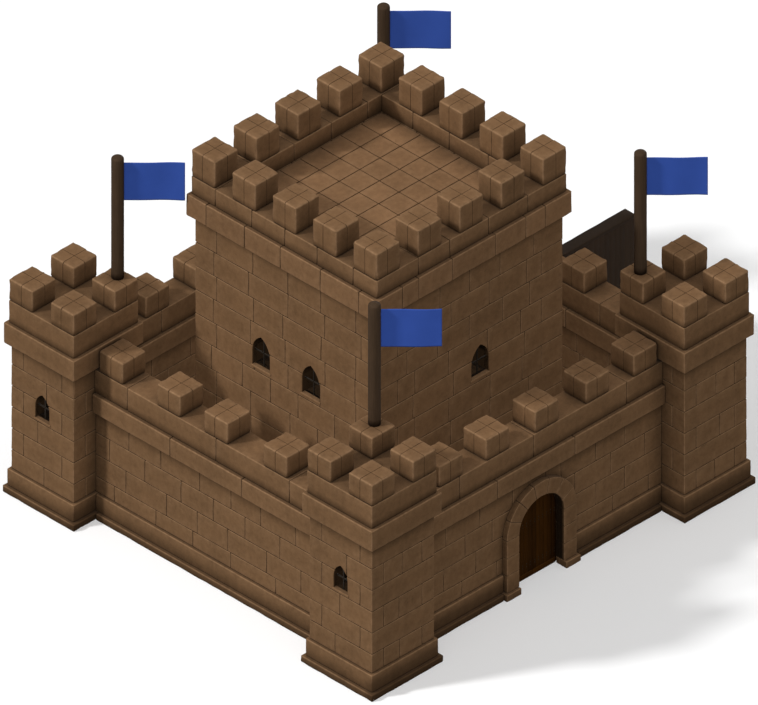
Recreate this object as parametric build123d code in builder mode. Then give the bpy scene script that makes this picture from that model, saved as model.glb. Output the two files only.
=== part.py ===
from build123d import *
import os

# A small stone castle: four square corner towers, a battlemented curtain wall
# with an arched gate in front, and a taller square keep in the middle of the court.
# Sizes are in millimetres. X runs along the gate front, Y from the gate to the back
# and Z up, with the origin on the ground at the middle of the castle.

# Plan of the corner towers: how far their inner faces stand from the middle, and their width
tower_inner_x = 6162
tower_inner_y = 5812
tower_width = 3090
tower_wall = 600

# Plan of the curtain wall
curtain_face_x = 8180
curtain_face_y = 7798
curtain_thickness = 1050

# Plan of the keep
keep_width = 9190
keep_depth = 8965
keep_wall = 1050

# Footing courses that run round every wall
base_height = 285
base_projection = 225
plinth_height = 720
plinth_projection = 105

# Battlements: a cornice, a parapet and square merlons
merlon_width = 1180
cornice_projection = 190
parapet_projection = 63

# Heights of the tower courses
tower_wall_height = 6325
tower_cornice_height = 875
tower_parapet_height = 940
tower_merlon_height = 920

# Heights of the curtain courses
curtain_wall_height = 4445
curtain_cornice_height = 800
curtain_parapet_height = 970
curtain_merlon_height = 910

# Heights and projections of the keep courses
keep_wall_height = 11620
keep_cornice_height = 930
keep_cornice_projection = 228
keep_parapet_height = 750
keep_parapet_projection = 100
keep_merlon_height = 1140
keep_merlons_per_side = 5

# Pointed windows: width, height of the straight jambs, rise of the arch, sill level
tower_window_width = 700
tower_window_jamb = 510
tower_window_rise = 575
tower_window_sill = 3755
keep_window_width = 875
keep_window_jamb = 600
keep_window_rise = 730
keep_window_sill = 6700
keep_side_window_offset = 1225
keep_front_window_offset = 510

# Floors inside the towers and the keep
tower_floor_level = 2860
tower_floor_thickness = 250
keep_floor_level = 5800
keep_floor_thickness = 300

# Gate arch: a round-headed stone surround whose crown stays a gap below the cornice,
# with a rebate that the leaves close against
gate_half_width = 1110
gate_crown_gap = 250
gate_ring_width = 610
gate_ring_projection = 250
gate_rebate_depth = 189
gate_recess_margin = 80
gate_jamb_base_spread = 105

# Gate leaves, their iron straps and the pintles that carry them
leaf_overlap = 60
leaf_thickness = 110
leaf_floor_gap = 15
leaf_rebate_gap = 14
leaf_meeting_gap = 16
hinge_heel = 40
hinge_setback = 40
strap_length = 830
strap_height = 90
strap_thickness = 12
strap_low_level = 520
strap_high_level = 2240
knuckle_radius = 38
pintle_radius = 20
pintle_clearance = 0.3
pintle_arm_height = 60
pintle_head = 12

# Flagpoles on the inner merlon of each tower, set in a little from its middle, and their flags
pole_inset_x = 129
pole_inset_y = 4
pole_radius = 228
pole_height = 5145
pole_cap = 120
flag_length = 2135
flag_hoist = 1600
flag_drop = 289
flag_thickness = 16
flag_pole_gap = 0.3

# Dark timber screen wall that leaves the right-hand curtain at its middle
wing_length = 3985
wing_height = 5656
wing_thickness = 500

# One overrun for every cut that goes right through a wall
cut_overrun = 50

# Where each merlon starts along its curtain wall, as shares of the clear wall length
# between the towers, read from left to right or from front to back
front_merlon_shares = (0.104, 0.292, 0.488, 0.691, 0.882)
back_merlon_shares = (0.110, 0.309, 0.503, 0.693, 0.882)
left_merlon_shares = (0.183, 0.434, 0.635, 0.879)
right_merlon_shares = (0.237, 0.470, 0.675, 0.879)

# Levels and faces worked out from the sizes above
plinth_top = base_height + plinth_height
tower_cornice_top = tower_wall_height + tower_cornice_height
tower_parapet_top = tower_cornice_top + tower_parapet_height
tower_top = tower_parapet_top + tower_merlon_height
curtain_cornice_top = curtain_wall_height + curtain_cornice_height
curtain_parapet_top = curtain_cornice_top + curtain_parapet_height
keep_deck_level = keep_wall_height + keep_cornice_height
keep_parapet_top = keep_deck_level + keep_parapet_height
tower_centre_x = tower_inner_x + tower_width / 2
tower_centre_y = tower_inner_y + tower_width / 2
tower_room = tower_width - 2 * tower_wall
merlon_offset = tower_width / 2 + parapet_projection - merlon_width / 2
pole_x = tower_centre_x - merlon_offset - pole_inset_x
pole_y = tower_centre_y - merlon_offset - pole_inset_y
keep_room_x = keep_width - 2 * keep_wall
keep_room_y = keep_depth - 2 * keep_wall
gate_recess_half = gate_half_width + gate_recess_margin
gate_ring_radius = gate_half_width + gate_ring_width
gate_spring_height = curtain_wall_height - gate_crown_gap - gate_ring_radius
gate_recess_top = gate_spring_height + gate_recess_half
leaf_half_width = gate_half_width + leaf_overlap
rebate_back_y = curtain_face_y - gate_rebate_depth
leaf_front_y = rebate_back_y - leaf_rebate_gap
leaf_back_y = leaf_front_y - leaf_thickness
hinge_x = leaf_half_width - hinge_heel
hinge_y = leaf_back_y - hinge_setback

# Footing courses and wall as projection, bottom level and top level
footing_courses = ((base_projection, 0, base_height), (plinth_projection, base_height, plinth_top))
tower_courses = footing_courses + ((0, plinth_top, tower_wall_height),)
curtain_courses = footing_courses + ((0, plinth_top, curtain_wall_height),)
keep_courses = footing_courses + ((0, plinth_top, keep_wall_height),)

corners = {
    "front_left": (-1, -1),
    "front_right": (1, -1),
    "back_left": (-1, 1),
    "back_right": (1, 1),
}

on_base = (Align.CENTER, Align.CENTER, Align.MIN)
os.makedirs("parts", exist_ok=True)


def save(piece, node):
    """Label a finished piece and write it to its own file."""
    piece.label = node
    export_step(piece, f"parts/{node}.step")


def block(low, high, mode=Mode.ADD):
    """Squared masonry between two opposite corners, in the part being built."""
    middle = [(a + b) / 2 for a, b in zip(low, high)]
    with Locations(tuple(middle)):
        Box(*[abs(b - a) for a, b in zip(low, high)], mode=mode)


def pointed_opening(plane, across, width, jamb, rise, sill, depth):
    """Cut a window with straight jambs and a two-centred pointed head through a wall."""
    half = width / 2
    radius = (rise**2 + half**2) / width
    with BuildSketch(plane) as outline:
        with BuildLine():
            apex = (across, sill + jamb + rise)
            left = (across - half, sill + jamb)
            right = (across + half, sill + jamb)
            RadiusArc(left, apex, radius)
            RadiusArc(apex, right, radius)
            Polyline(right, (across + half, sill), (across - half, sill), left)
        make_face()
    extrude(outline.sketch, amount=depth, mode=Mode.SUBTRACT)


# Corner towers: a hollow shaft on its footing courses, a floor and a battlement
for corner, (side_x, side_y) in corners.items():
    centre_x = side_x * tower_centre_x
    centre_y = side_y * tower_centre_y

    with BuildPart() as tower_shaft:
        for spread, low, high in tower_courses:
            with Locations((centre_x, centre_y, low)):
                Box(tower_width + 2 * spread, tower_width + 2 * spread, high - low, align=on_base)
        with Locations((centre_x, centre_y, 0)):
            Box(tower_room, tower_room, tower_wall_height, align=on_base, mode=Mode.SUBTRACT)
        outer_face = centre_x + side_x * (tower_width / 2 + cut_overrun)
        pointed_opening(
            Plane(origin=(outer_face, centre_y, 0), x_dir=(0, -side_x, 0), z_dir=(-side_x, 0, 0)),
            0,
            tower_window_width,
            tower_window_jamb,
            tower_window_rise,
            tower_window_sill,
            tower_wall + 2 * cut_overrun,
        )
    save(tower_shaft.part, f"tower_shaft_{corner}")

    with BuildPart() as tower_floor:
        with Locations((centre_x, centre_y, tower_floor_level - tower_floor_thickness)):
            Box(tower_room, tower_room, tower_floor_thickness, align=on_base)
    save(tower_floor.part, f"tower_floor_{corner}")

    with BuildPart() as tower_battlement:
        cornice_width = tower_width + 2 * cornice_projection
        parapet_width = tower_width + 2 * parapet_projection
        with Locations((centre_x, centre_y, tower_wall_height)):
            Box(cornice_width, cornice_width, tower_cornice_height, align=on_base)
        with Locations((centre_x, centre_y, tower_cornice_top)):
            Box(parapet_width, parapet_width, tower_parapet_height, align=on_base)
        merlon_pitch = parapet_width - merlon_width
        with Locations((centre_x, centre_y, tower_parapet_top)):
            with GridLocations(merlon_pitch, merlon_pitch, 2, 2):
                Box(merlon_width, merlon_width, tower_merlon_height, align=on_base)
    save(tower_battlement.part, f"tower_battlement_{corner}")

    # The pole stands on the merlon nearest the court, and its flag flies to the front right
    foot_x = side_x * pole_x
    foot_y = side_y * pole_y
    with BuildPart() as flagpole:
        with Locations((foot_x, foot_y, tower_top)):
            Cylinder(pole_radius, pole_height, align=on_base)
        chamfer(flagpole.edges().group_by(Axis.Z)[-1], length=pole_cap, length2=pole_cap / 2)
    save(flagpole.part, f"flagpole_{corner}")

    flag_top = tower_top + pole_height - flag_drop
    with BuildPart() as flag:
        hoist_corner = (foot_x, foot_y, flag_top)
        with BuildSketch(Plane(origin=hoist_corner, x_dir=(1, -1, 0), z_dir=(-1, -1, 0))):
            with Locations((pole_radius + flag_pole_gap, 0)):
                Rectangle(flag_length, flag_hoist, align=(Align.MIN, Align.MAX))
        extrude(amount=flag_thickness / 2, both=True)
    save(flag.part, f"flag_{corner}")


def curtain_wall(centre_x, centre_y, length_x, length_y, along_x):
    """A plain curtain wall between two towers, with the footing courses on both faces."""
    with BuildPart() as wall:
        for spread, low, high in curtain_courses:
            reach_x = length_x - 2 * spread if along_x else length_x + 2 * spread
            reach_y = length_y + 2 * spread if along_x else length_y - 2 * spread
            with Locations((centre_x, centre_y, low)):
                Box(reach_x, reach_y, high - low, align=on_base)
    return wall.part


def curtain_battlement(centre_x, centre_y, length, shares, along_x):
    """Cornice, parapet and merlons of one curtain wall, each standing proud of both faces."""
    turn = 0 if along_x else 90
    plane = Plane(origin=(centre_x, centre_y, 0)).rotated((0, 0, turn))
    cornice_depth = curtain_thickness + 2 * cornice_projection
    parapet_depth = curtain_thickness + 2 * parapet_projection
    with BuildPart(plane) as crest:
        with Locations((0, 0, curtain_wall_height)):
            Box(length, cornice_depth, curtain_cornice_height, align=on_base)
        with Locations((0, 0, curtain_cornice_top)):
            Box(length, parapet_depth, curtain_parapet_height, align=on_base)
        for share in shares:
            start = (share - 1 / 2) * length
            with Locations((start + merlon_width / 2, 0, curtain_parapet_top)):
                Box(merlon_width, parapet_depth, curtain_merlon_height, align=on_base)
    return crest.part


# Curtain walls at the left, the right and the back, and the battlements of all four
clear_x = 2 * tower_inner_x
clear_y = 2 * tower_inner_y
curtain_middle_x = curtain_face_x - curtain_thickness / 2
curtain_middle_y = curtain_face_y - curtain_thickness / 2

save(curtain_wall(-curtain_middle_x, 0, curtain_thickness, clear_y, False), "curtain_wall_left")
save(curtain_wall(curtain_middle_x, 0, curtain_thickness, clear_y, False), "curtain_wall_right")
save(curtain_wall(0, curtain_middle_y, clear_x, curtain_thickness, True), "curtain_wall_back")
save(
    curtain_battlement(0, -curtain_middle_y, clear_x, front_merlon_shares, True),
    "curtain_battlement_front",
)
save(
    curtain_battlement(0, curtain_middle_y, clear_x, back_merlon_shares, True),
    "curtain_battlement_back",
)
save(
    curtain_battlement(-curtain_middle_x, 0, clear_y, left_merlon_shares, False),
    "curtain_battlement_left",
)
save(
    curtain_battlement(curtain_middle_x, 0, clear_y, right_merlon_shares, False),
    "curtain_battlement_right",
)

# Front curtain: a wall on each side of the gate and a lintel block over its recess
curtain_back_y = curtain_face_y - curtain_thickness
for side, sign in (("left", -1), ("right", 1)):
    with BuildPart() as front_wall:
        for spread, low, high in curtain_courses:
            block(
                (sign * gate_recess_half, -curtain_face_y, low),
                (sign * (tower_inner_x - spread), -curtain_back_y + spread, high),
            )
        for margin, (spread, low, high) in zip((gate_jamb_base_spread, 0), footing_courses):
            block(
                (sign * (gate_ring_radius + margin), -curtain_face_y - spread, low),
                (sign * (tower_inner_x - spread), -curtain_face_y, high),
            )
    save(front_wall.part, f"front_wall_{side}")

with BuildPart() as front_wall_over_gate:
    block(
        (-gate_recess_half, -curtain_face_y, gate_recess_top),
        (gate_recess_half, -curtain_back_y, curtain_wall_height),
    )
save(front_wall_over_gate.part, "front_wall_over_gate")

# Gate arch: the raised ring with its jambs, the rebate behind it and the two jamb bases
with BuildPart() as gate_arch:
    with BuildSketch(Plane.XZ.offset(curtain_face_y)):
        Rectangle(2 * gate_ring_radius, gate_spring_height, align=(Align.CENTER, Align.MIN))
        with Locations((0, gate_spring_height)):
            Circle(gate_ring_radius)
    extrude(amount=gate_ring_projection)
    block(
        (-gate_recess_half, -curtain_face_y, 0),
        (gate_recess_half, -rebate_back_y, gate_recess_top),
    )
    for sign in (-1, 1):
        block(
            (sign * gate_half_width, -curtain_face_y - gate_ring_projection - gate_jamb_base_spread, 0),
            (sign * (gate_ring_radius + gate_jamb_base_spread), -curtain_face_y, base_height),
        )
    with BuildSketch(Plane.XZ.offset(rebate_back_y)):
        Rectangle(2 * gate_half_width, gate_spring_height, align=(Align.CENTER, Align.MIN))
        with Locations((0, gate_spring_height)):
            Circle(gate_half_width)
    extrude(amount=gate_rebate_depth + gate_ring_projection, mode=Mode.SUBTRACT)
save(gate_arch.part, "gate_arch")

# Gate leaves with round heads, hung on straps that turn on pintles let into the recess
strap_levels = (strap_low_level, strap_high_level)
for side, sign in (("left", -1), ("right", 1)):
    with BuildPart() as gate_leaf:
        with BuildSketch(Plane.XZ.offset(leaf_back_y)):
            Rectangle(2 * leaf_half_width, gate_spring_height, align=(Align.CENTER, Align.MIN))
            with Locations((0, gate_spring_height)):
                Circle(leaf_half_width)
            with Locations((0, 0)):
                Rectangle(
                    2 * leaf_half_width,
                    leaf_floor_gap,
                    align=(Align.CENTER, Align.MIN),
                    mode=Mode.SUBTRACT,
                )
            with Locations((-sign * leaf_half_width, 0)):
                Rectangle(
                    2 * leaf_half_width + leaf_meeting_gap,
                    gate_recess_top,
                    align=(Align.CENTER, Align.MIN),
                    mode=Mode.SUBTRACT,
                )
        extrude(amount=leaf_thickness)
    save(gate_leaf.part, f"gate_leaf_{side}")

    pivot_x = sign * hinge_x
    with BuildPart() as gate_straps:
        for level in strap_levels:
            with Locations((pivot_x, -hinge_y, level)):
                Cylinder(knuckle_radius, strap_height, align=on_base)
            block(
                (pivot_x, -leaf_back_y, level),
                (pivot_x - sign * strap_length, -leaf_back_y + strap_thickness, level + strap_height),
            )
            with Locations((pivot_x, -hinge_y, level)):
                Cylinder(
                    pintle_radius + pintle_clearance, strap_height, align=on_base, mode=Mode.SUBTRACT
                )
    save(gate_straps.part, f"gate_straps_{side}")

    with BuildPart() as gate_pintles:
        for level in strap_levels:
            arm_top = level - pintle_clearance
            block(
                (sign * gate_recess_half, -hinge_y - pintle_radius, arm_top - pintle_arm_height),
                (pivot_x, -hinge_y + pintle_radius, arm_top),
            )
            with Locations((pivot_x, -hinge_y, arm_top - pintle_arm_height)):
                Cylinder(
                    pintle_radius,
                    pintle_arm_height + strap_height + pintle_head,
                    align=on_base,
                )
    save(gate_pintles.part, f"gate_pintles_{side}")

# Keep: four walls with pointed windows, an upper floor, a roof deck and four parapets
half_width = keep_width / 2
half_depth = keep_depth / 2
cut_depth = keep_wall + 2 * cut_overrun
for side, sign in (("left", -1), ("right", 1)):
    with BuildPart() as keep_side_wall:
        for spread, low, high in keep_courses:
            block(
                (sign * keep_room_x / 2, -half_depth - spread, low),
                (sign * (half_width + spread), half_depth + spread, high),
            )
        for across in (-keep_side_window_offset, keep_side_window_offset):
            pointed_opening(
                Plane(
                    origin=(sign * (half_width + cut_overrun), 0, 0),
                    x_dir=(0, -sign, 0),
                    z_dir=(-sign, 0, 0),
                ),
                across,
                keep_window_width,
                keep_window_jamb,
                keep_window_rise,
                keep_window_sill,
                cut_depth,
            )
    save(keep_side_wall.part, f"keep_wall_{side}")

for side, sign in (("front", -1), ("back", 1)):
    with BuildPart() as keep_end_wall:
        for spread, low, high in keep_courses:
            block(
                (-keep_room_x / 2, sign * keep_room_y / 2, low),
                (keep_room_x / 2, sign * (half_depth + spread), high),
            )
        pointed_opening(
            Plane(
                origin=(0, sign * (half_depth + cut_overrun), 0),
                x_dir=(sign, 0, 0),
                z_dir=(0, -sign, 0),
            ),
            sign * keep_front_window_offset,
            keep_window_width,
            keep_window_jamb,
            keep_window_rise,
            keep_window_sill,
            cut_depth,
        )
    save(keep_end_wall.part, f"keep_wall_{side}")

with BuildPart() as keep_upper_floor:
    with Locations((0, 0, keep_floor_level - keep_floor_thickness)):
        Box(keep_room_x, keep_room_y, keep_floor_thickness, align=on_base)
save(keep_upper_floor.part, "keep_upper_floor")

with BuildPart() as keep_roof_deck:
    deck_x = keep_width + 2 * keep_cornice_projection
    deck_y = keep_depth + 2 * keep_cornice_projection
    with Locations((0, 0, keep_wall_height)):
        Box(deck_x, deck_y, keep_cornice_height, align=on_base)
save(keep_roof_deck.part, "keep_roof_deck")

parapet_x = half_width + keep_parapet_projection
parapet_y = half_depth + keep_parapet_projection
merlon_pitch_x = (2 * parapet_x - merlon_width) / (keep_merlons_per_side - 1)
merlon_pitch_y = (2 * parapet_y - merlon_width) / (keep_merlons_per_side - 1)
for side, sign in (("left", -1), ("right", 1)):
    with BuildPart() as keep_side_parapet:
        block(
            (sign * (parapet_x - merlon_width), -parapet_y, keep_deck_level),
            (sign * parapet_x, parapet_y, keep_parapet_top),
        )
        with Locations((sign * (parapet_x - merlon_width / 2), 0, keep_parapet_top)):
            with GridLocations(merlon_width, merlon_pitch_y, 1, keep_merlons_per_side):
                Box(merlon_width, merlon_width, keep_merlon_height, align=on_base)
    save(keep_side_parapet.part, f"keep_parapet_{side}")

for side, sign in (("front", -1), ("back", 1)):
    with BuildPart() as keep_end_parapet:
        block(
            (-parapet_x + merlon_width, sign * (parapet_y - merlon_width), keep_deck_level),
            (parapet_x - merlon_width, sign * parapet_y, keep_parapet_top),
        )
        with Locations((0, sign * (parapet_y - merlon_width / 2), keep_parapet_top)):
            with GridLocations(merlon_pitch_x, merlon_width, keep_merlons_per_side - 2, 1):
                Box(merlon_width, merlon_width, keep_merlon_height, align=on_base)
    save(keep_end_parapet.part, f"keep_parapet_{side}")

# Timber screen wall standing square to the right-hand curtain, against its footing
with BuildPart() as timber_wing_wall:
    wing_start = curtain_face_x + base_projection
    block(
        (wing_start, -wing_thickness / 2, 0),
        (wing_start + wing_length, wing_thickness / 2, wing_height),
    )
save(timber_wing_wall.part, "timber_wing_wall")
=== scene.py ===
import functools
import math

import bmesh
import bpy
import numpy as np
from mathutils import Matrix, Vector


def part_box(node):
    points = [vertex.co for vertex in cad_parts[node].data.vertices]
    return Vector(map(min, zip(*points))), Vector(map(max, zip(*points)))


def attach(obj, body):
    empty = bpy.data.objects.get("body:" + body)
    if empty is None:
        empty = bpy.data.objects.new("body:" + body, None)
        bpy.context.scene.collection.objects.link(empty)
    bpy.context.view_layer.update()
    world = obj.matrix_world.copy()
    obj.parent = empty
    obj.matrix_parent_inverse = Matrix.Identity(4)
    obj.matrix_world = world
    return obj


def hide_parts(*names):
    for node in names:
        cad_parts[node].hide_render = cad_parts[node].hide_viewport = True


# A small stone castle in metres: every wall is laid in worn stones over a mortar core,
# the gate has plank leaves, the poles carry plain blue cloth flags.

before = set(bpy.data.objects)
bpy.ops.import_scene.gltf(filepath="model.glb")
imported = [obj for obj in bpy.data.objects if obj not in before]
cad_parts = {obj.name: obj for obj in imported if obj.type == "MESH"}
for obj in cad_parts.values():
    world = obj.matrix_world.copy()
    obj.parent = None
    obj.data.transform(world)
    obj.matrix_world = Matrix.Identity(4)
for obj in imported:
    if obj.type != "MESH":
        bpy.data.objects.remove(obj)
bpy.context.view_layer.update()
scene = bpy.context.scene
dice = np.random.default_rng(12)

# Blocks: bevel, its limit as a share of the least side, how pale the bevel's inner lines are, as
# wear and painted highlight, and chips of edges, wave and grid of faces; then half width and depth
# of grooves, and tolerances
BEVEL = 0.034
BEVEL_SHARE = 0.3
BEVEL_WEAR_AND_HIGHLIGHT = 0.25
CHIP_DEPTH = 0.024
FACE_WAVE = 0.004
STONE_GRID = 0.34
GROOVE = 0.016
GROOVE_DEPTH = 0.020
TINY = 1e-9
EDGE_SLACK = 1e-6

# Upright and level joints, and the mortar behind them
JOINT_RUN = 0.004
JOINT_BED = 0.013
MORTAR_INSET = 0.050
END_BITE = 0.045

# Darkening from 0 to 1: dirt in scored grooves, and painted shade along a wall's top course under
# its crest, at the feet of parapets and footings, up the footings and inside rooms; edges with less
# than CLEAN still show their wear and painted highlight
GROOVE_DIRT = 0.75
HEAD_SHADE = 0.45
FOOT_SHADE = 0.50
GROUND_SHADE = 0.35
FOOTING_SHADE_RISE = 0.24
FOOTING_SHADE_FRONT = 0.34
FOOTING_SHADE_FADE = 0.20
FRONT_DEPTH = 0.1
ROOM_SHADE = 1.0
CLEAN = 0.25

# Usual length of the stones, and how far it varies
WALL_STONE = 1.72
TOWER_STONE = 3.30
CURTAIN_CREST_STONE = 4.1
CREST_STONE = 1.88
LINTEL_STONE = 0.8
COUNT_SPREAD = 0.7
JOINT_SPREAD = 0.22
END_SHARE = 0.3

# Bevels of the courses that aren't plain wall, and the grid of the tower crests
FOOTING_BEVEL = 0.048
KEEP_FOOTING_BEVEL = 0.036
CORNICE_BEVEL = 0.050
KEEP_CORNICE_BEVEL = 0.045
PARAPET_BEVEL = 0.044
CREST_GRID = 0.26

# Tiles of the keep's deck
TILE_SIZE = 1.0
TILE_THICK = 0.1
TILE_FINISH = {"bevel": 0.024, "chip": 0.016, "step": 0.25, "gap": (0.012, 0.012, 0),
               "dark_edges": 0.25}

# Layers of a piece of masonry, and how its faces are smoothed
STONE_LAYER = 0
MORTAR_LAYER = 1
SHARP_ANGLE = math.radians(52)
NORMAL_WEIGHT = 80

# Height of the courses in each kind of wall and of the keep's top course, and the least share of a
# course that is laid at the foot by itself
TOWER_COURSE = 0.905
CURTAIN_COURSE = 0.928
KEEP_COURSE = 1.002
KEEP_TOP_COURSE = 1.130
LEAST_COURSE_SHARE = 0.4

# Footing and crest sizes that the boxes of the nodes don't give by themselves
BASE_TOP = 0.285
PLINTH_TOP = 1.005
BASE_OUT = 0.225
PLINTH_OUT = 0.105
FOOTING = ((BASE_OUT, 0, BASE_TOP), (PLINTH_OUT, BASE_TOP, PLINTH_TOP))
FOOTING_DEPTH = 0.4
CORNICE_OUT = 0.190
PARAPET_OUT = 0.063
TOWER_CORNICE_TOP = 7.200
TOWER_PARAPET_TOP = 8.140
CURTAIN_CORNICE_TOP = 5.245
CURTAIN_PARAPET_TOP = 6.215
KEEP_PARAPET_TOP = 13.300
KEEP_CORNICE_DEPTH = 1.3
TOWER_WALL = 0.600
KEEP_WALL = 1.050
MERLON = 1.180
# Merlons darken at their foot as painted shade
MERLON_FINISH = {"bevel": 0.072, "chip": 0.040, "step": 0.20, "foot": 0.45}
MERLON_JOINT_SPREAD = 0.14
KEEP_MERLONS = 5

# Windows: half width, jamb height, rise and sill level; then how far in, as a share of the half
# width, clean stone fades to painted shade, and the sizes of the bars and the sill stones
TOWER_WINDOW = (0.350, 0.510, 0.575, 3.755)
KEEP_WINDOW = (0.4375, 0.600, 0.730, 6.700)
KEEP_SIDE_WINDOWS = (-1.225, 1.225)
KEEP_END_WINDOW = 0.510
WINDOW_STEPS = 7
REVEAL_SHARE = 0.55
REVEAL_START_SHARE = 0.9
REVEAL_MARGIN = 0.01
CUT_OVERRUN = 0.1
ROOM_OVERRUN = 1
BAR_DEPTH = 0.160
BAR = 0.046
BAR_FINISH = {"bevel": 0.006, "chip": 0.001, "wave": 0, "step": 0.3}
SILL_HEIGHT = 0.080
SILL_RISE = 0.004
SILL_OUT = 0.025
SILL_BACK = 0.150
SILL_END = 0.050
# The sill stone is paler all over, as painted light on it
SILL_FINISH = {"bevel": 0.012, "chip": 0.008, "step": 0.12, "tone": 3.0}

# Gate
GATE_HALF = 1.110
GATE_SPRING = 2.475
RING_WIDTH = 0.610
GATE_REBATE_Y = -7.609
VOUSSOIRS = 7
JAMB_STONES = 3
JAMB_BASE_SPREAD = 0.105
JAMB_BASE_GRID = 0.25
ARCH_JOINT = 0.010
ARCH_FINISH = {"bevel": 0.022, "step": 0.12, "tone": -0.8}
ARCH_CORE_INSET = 0.03
ARCH_CORE_FINISH = {"bevel": 0.002, "chip": 0, "wave": 0, "step": 0.12}
# Painted shade on the gateway's inner faces: its strength, and where behind the ring's front it
# starts and how far it takes to deepen
REVEAL_SHADE = 0.97
REVEAL_SHADE_START = 0.03
REVEAL_SHADE_FADE = 0.10

# Corners, with the side that their windows face
CORNERS = {"front_left": -1, "front_right": 1, "back_left": -1, "back_right": 1}


# Meshes from blocks

@functools.lru_cache(maxsize=None)
def box_surface(nx, ny, nz):
    """Grid points on the surface of a box, and its outward quads, for so many points a side."""
    counts = (nx, ny, nz)
    grid = np.indices(counts).reshape(3, -1).T
    last = np.array(counts) - 1
    points = grid[((grid == 0) | (grid == last)).any(axis=1)]
    index = np.zeros(counts, int)
    index[tuple(points.T)] = np.arange(len(points))
    quads = []
    for axis in range(3):
        for end in (0, last[axis]):
            face = np.take(index, end, axis=axis)
            ring = np.stack((face[:-1, :-1], face[1:, :-1], face[1:, 1:], face[:-1, 1:]), axis=-1)
            ring = ring.reshape(-1, 4)
            outward = (end > 0) != (axis == 1)
            quads.append(ring if outward else ring[:, ::-1])
    return points, np.concatenate(quads)


def axis_lines(length, bevel, step, scores):
    """Grid lines along one side of a block: its ends, bevels, grooves and even steps between."""
    stops = [bevel, length - bevel]
    for place in scores:
        stops += [place - GROOVE, place, place + GROOVE]
    stops.sort()
    lines = [0.0]
    for a, b in zip(stops, stops[1:]):
        lines.extend(np.linspace(a, b, max(1, round((b - a) / step)), endpoint=False))
    return np.array([*lines, stops[-1], length])


class Blocks:
    """Collects bevelled blocks and makes one mesh with tint, paler edges (wear and painted
    highlight) and darkening (dirt in joints and painted shade) on its points.
    """

    def __init__(self):
        self.points = []
        self.quads = []
        self.marks = {"tint": [], "wear": [], "joint": []}
        self.count = 0

    def add(self, points, quads, **marks):
        self.points.append(points)
        self.quads.append(quads + self.count)
        for key, values in self.marks.items():
            values.append(np.broadcast_to(marks.get(key, 0.0), len(points)))
        self.count += len(points)

    def block(self, low, high, bevel=BEVEL, chip=CHIP_DEPTH, wave=FACE_WAVE, step=STONE_GRID,
              gap=0.0, scores=((), (), ()), shape=None, dark_edges=0.0, foot=0.0, head=0.0,
              stain=None, tone=0.0):
        """A block whose edges are worn and paler, as wear and painted highlight; scores are grooves
        by axis, shape maps its points to their place, foot and head darken its lowest and highest
        edge as painted shade, a function of place given for painted shade darkens where it says,
        tone lightens the whole block."""
        gap = np.broadcast_to(gap, 3)
        low, high = np.minimum(low, high) + gap / 2, np.maximum(low, high) - gap / 2
        size = high - low
        radius = min(bevel, BEVEL_SHARE * size.min())
        places = [[p - low[axis] for p in scores[axis]] for axis in range(3)]
        lines = [axis_lines(size[axis], radius, step, places[axis]) for axis in range(3)]
        grid, quads = box_surface(*[len(line) for line in lines])
        spot = np.stack([lines[axis][grid[:, axis]] for axis in range(3)], axis=1)
        inner = np.clip(spot, radius, size - radius)
        offset = spot - inner
        out = offset / np.maximum(np.linalg.norm(offset, axis=1, keepdims=True), TINY)
        ends = (np.abs(offset) > TINY).sum(axis=1)
        rubbed = dice.random(len(spot)) ** 3 * chip
        waved = (dice.random(len(spot)) - 0.5) * wave
        near = (np.abs(spot - radius) < TINY) | (np.abs(spot - size + radius) < TINY)
        near = near.any(axis=1)
        grooved = np.zeros(len(spot), bool)
        for axis in range(3):
            for place in places[axis]:
                grooved |= np.abs(spot[:, axis] - place) < TINY
        depth = np.where(ends > 1, rubbed, np.where(near, 0, waved)) + GROOVE_DEPTH * grooved
        points = low + inner + out * (radius - depth)[:, None]
        # Paler edges: wear, and a painted highlight along the arrises
        wear = np.where(ends > 1, 1.0, np.where(near, BEVEL_WEAR_AND_HIGHLIGHT, 0.0))
        # Darkening: dirt in scored grooves and at dark edges, painted shade at the foot, at the
        # head and from a function of place
        joint = np.maximum(GROOVE_DIRT * grooved, dark_edges * (ends > 1))
        joint = np.maximum(joint, foot * (spot[:, 2] < radius + EDGE_SLACK))
        joint = np.maximum(joint, head * (spot[:, 2] > size[2] - radius - EDGE_SLACK))
        if stain is not None:
            joint = np.maximum(joint, stain(points))
        placed = points if shape is None else shape(points)
        self.add(placed, quads, tint=dice.random() * 2 - 1 + tone, wear=wear * (joint < CLEAN),
                 joint=joint)

    def plain(self, low, high):
        """A sharp box, for mortar cores and cutters."""
        grid, quads = box_surface(2, 2, 2)
        low, high = np.minimum(low, high), np.maximum(low, high)
        self.add(low + grid * (high - low), quads)

    def mesh(self, name):
        points = np.concatenate(self.points)
        quads = np.concatenate(self.quads)
        mesh = bpy.data.meshes.new(name)
        mesh.vertices.add(len(points))
        mesh.vertices.foreach_set("co", points.astype(np.float32).ravel())
        mesh.loops.add(quads.size)
        mesh.loops.foreach_set("vertex_index", quads.astype(np.int32).ravel())
        mesh.polygons.add(len(quads))
        mesh.polygons.foreach_set("loop_start", np.arange(0, quads.size, 4, dtype=np.int32))
        mesh.polygons.foreach_set("use_smooth", np.ones(len(quads), bool))
        mesh.update(calc_edges=True)
        for key, values in self.marks.items():
            attribute = mesh.attributes.new(key, "FLOAT", "POINT")
            attribute.data.foreach_set("value", np.concatenate(values).astype(np.float32))
        return mesh


def show(mesh, material):
    """Put a mesh in the scene as an object with one material."""
    item = bpy.data.objects.new(mesh.name, mesh)
    scene.collection.objects.link(item)
    mesh.materials.append(material)
    return item


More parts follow.
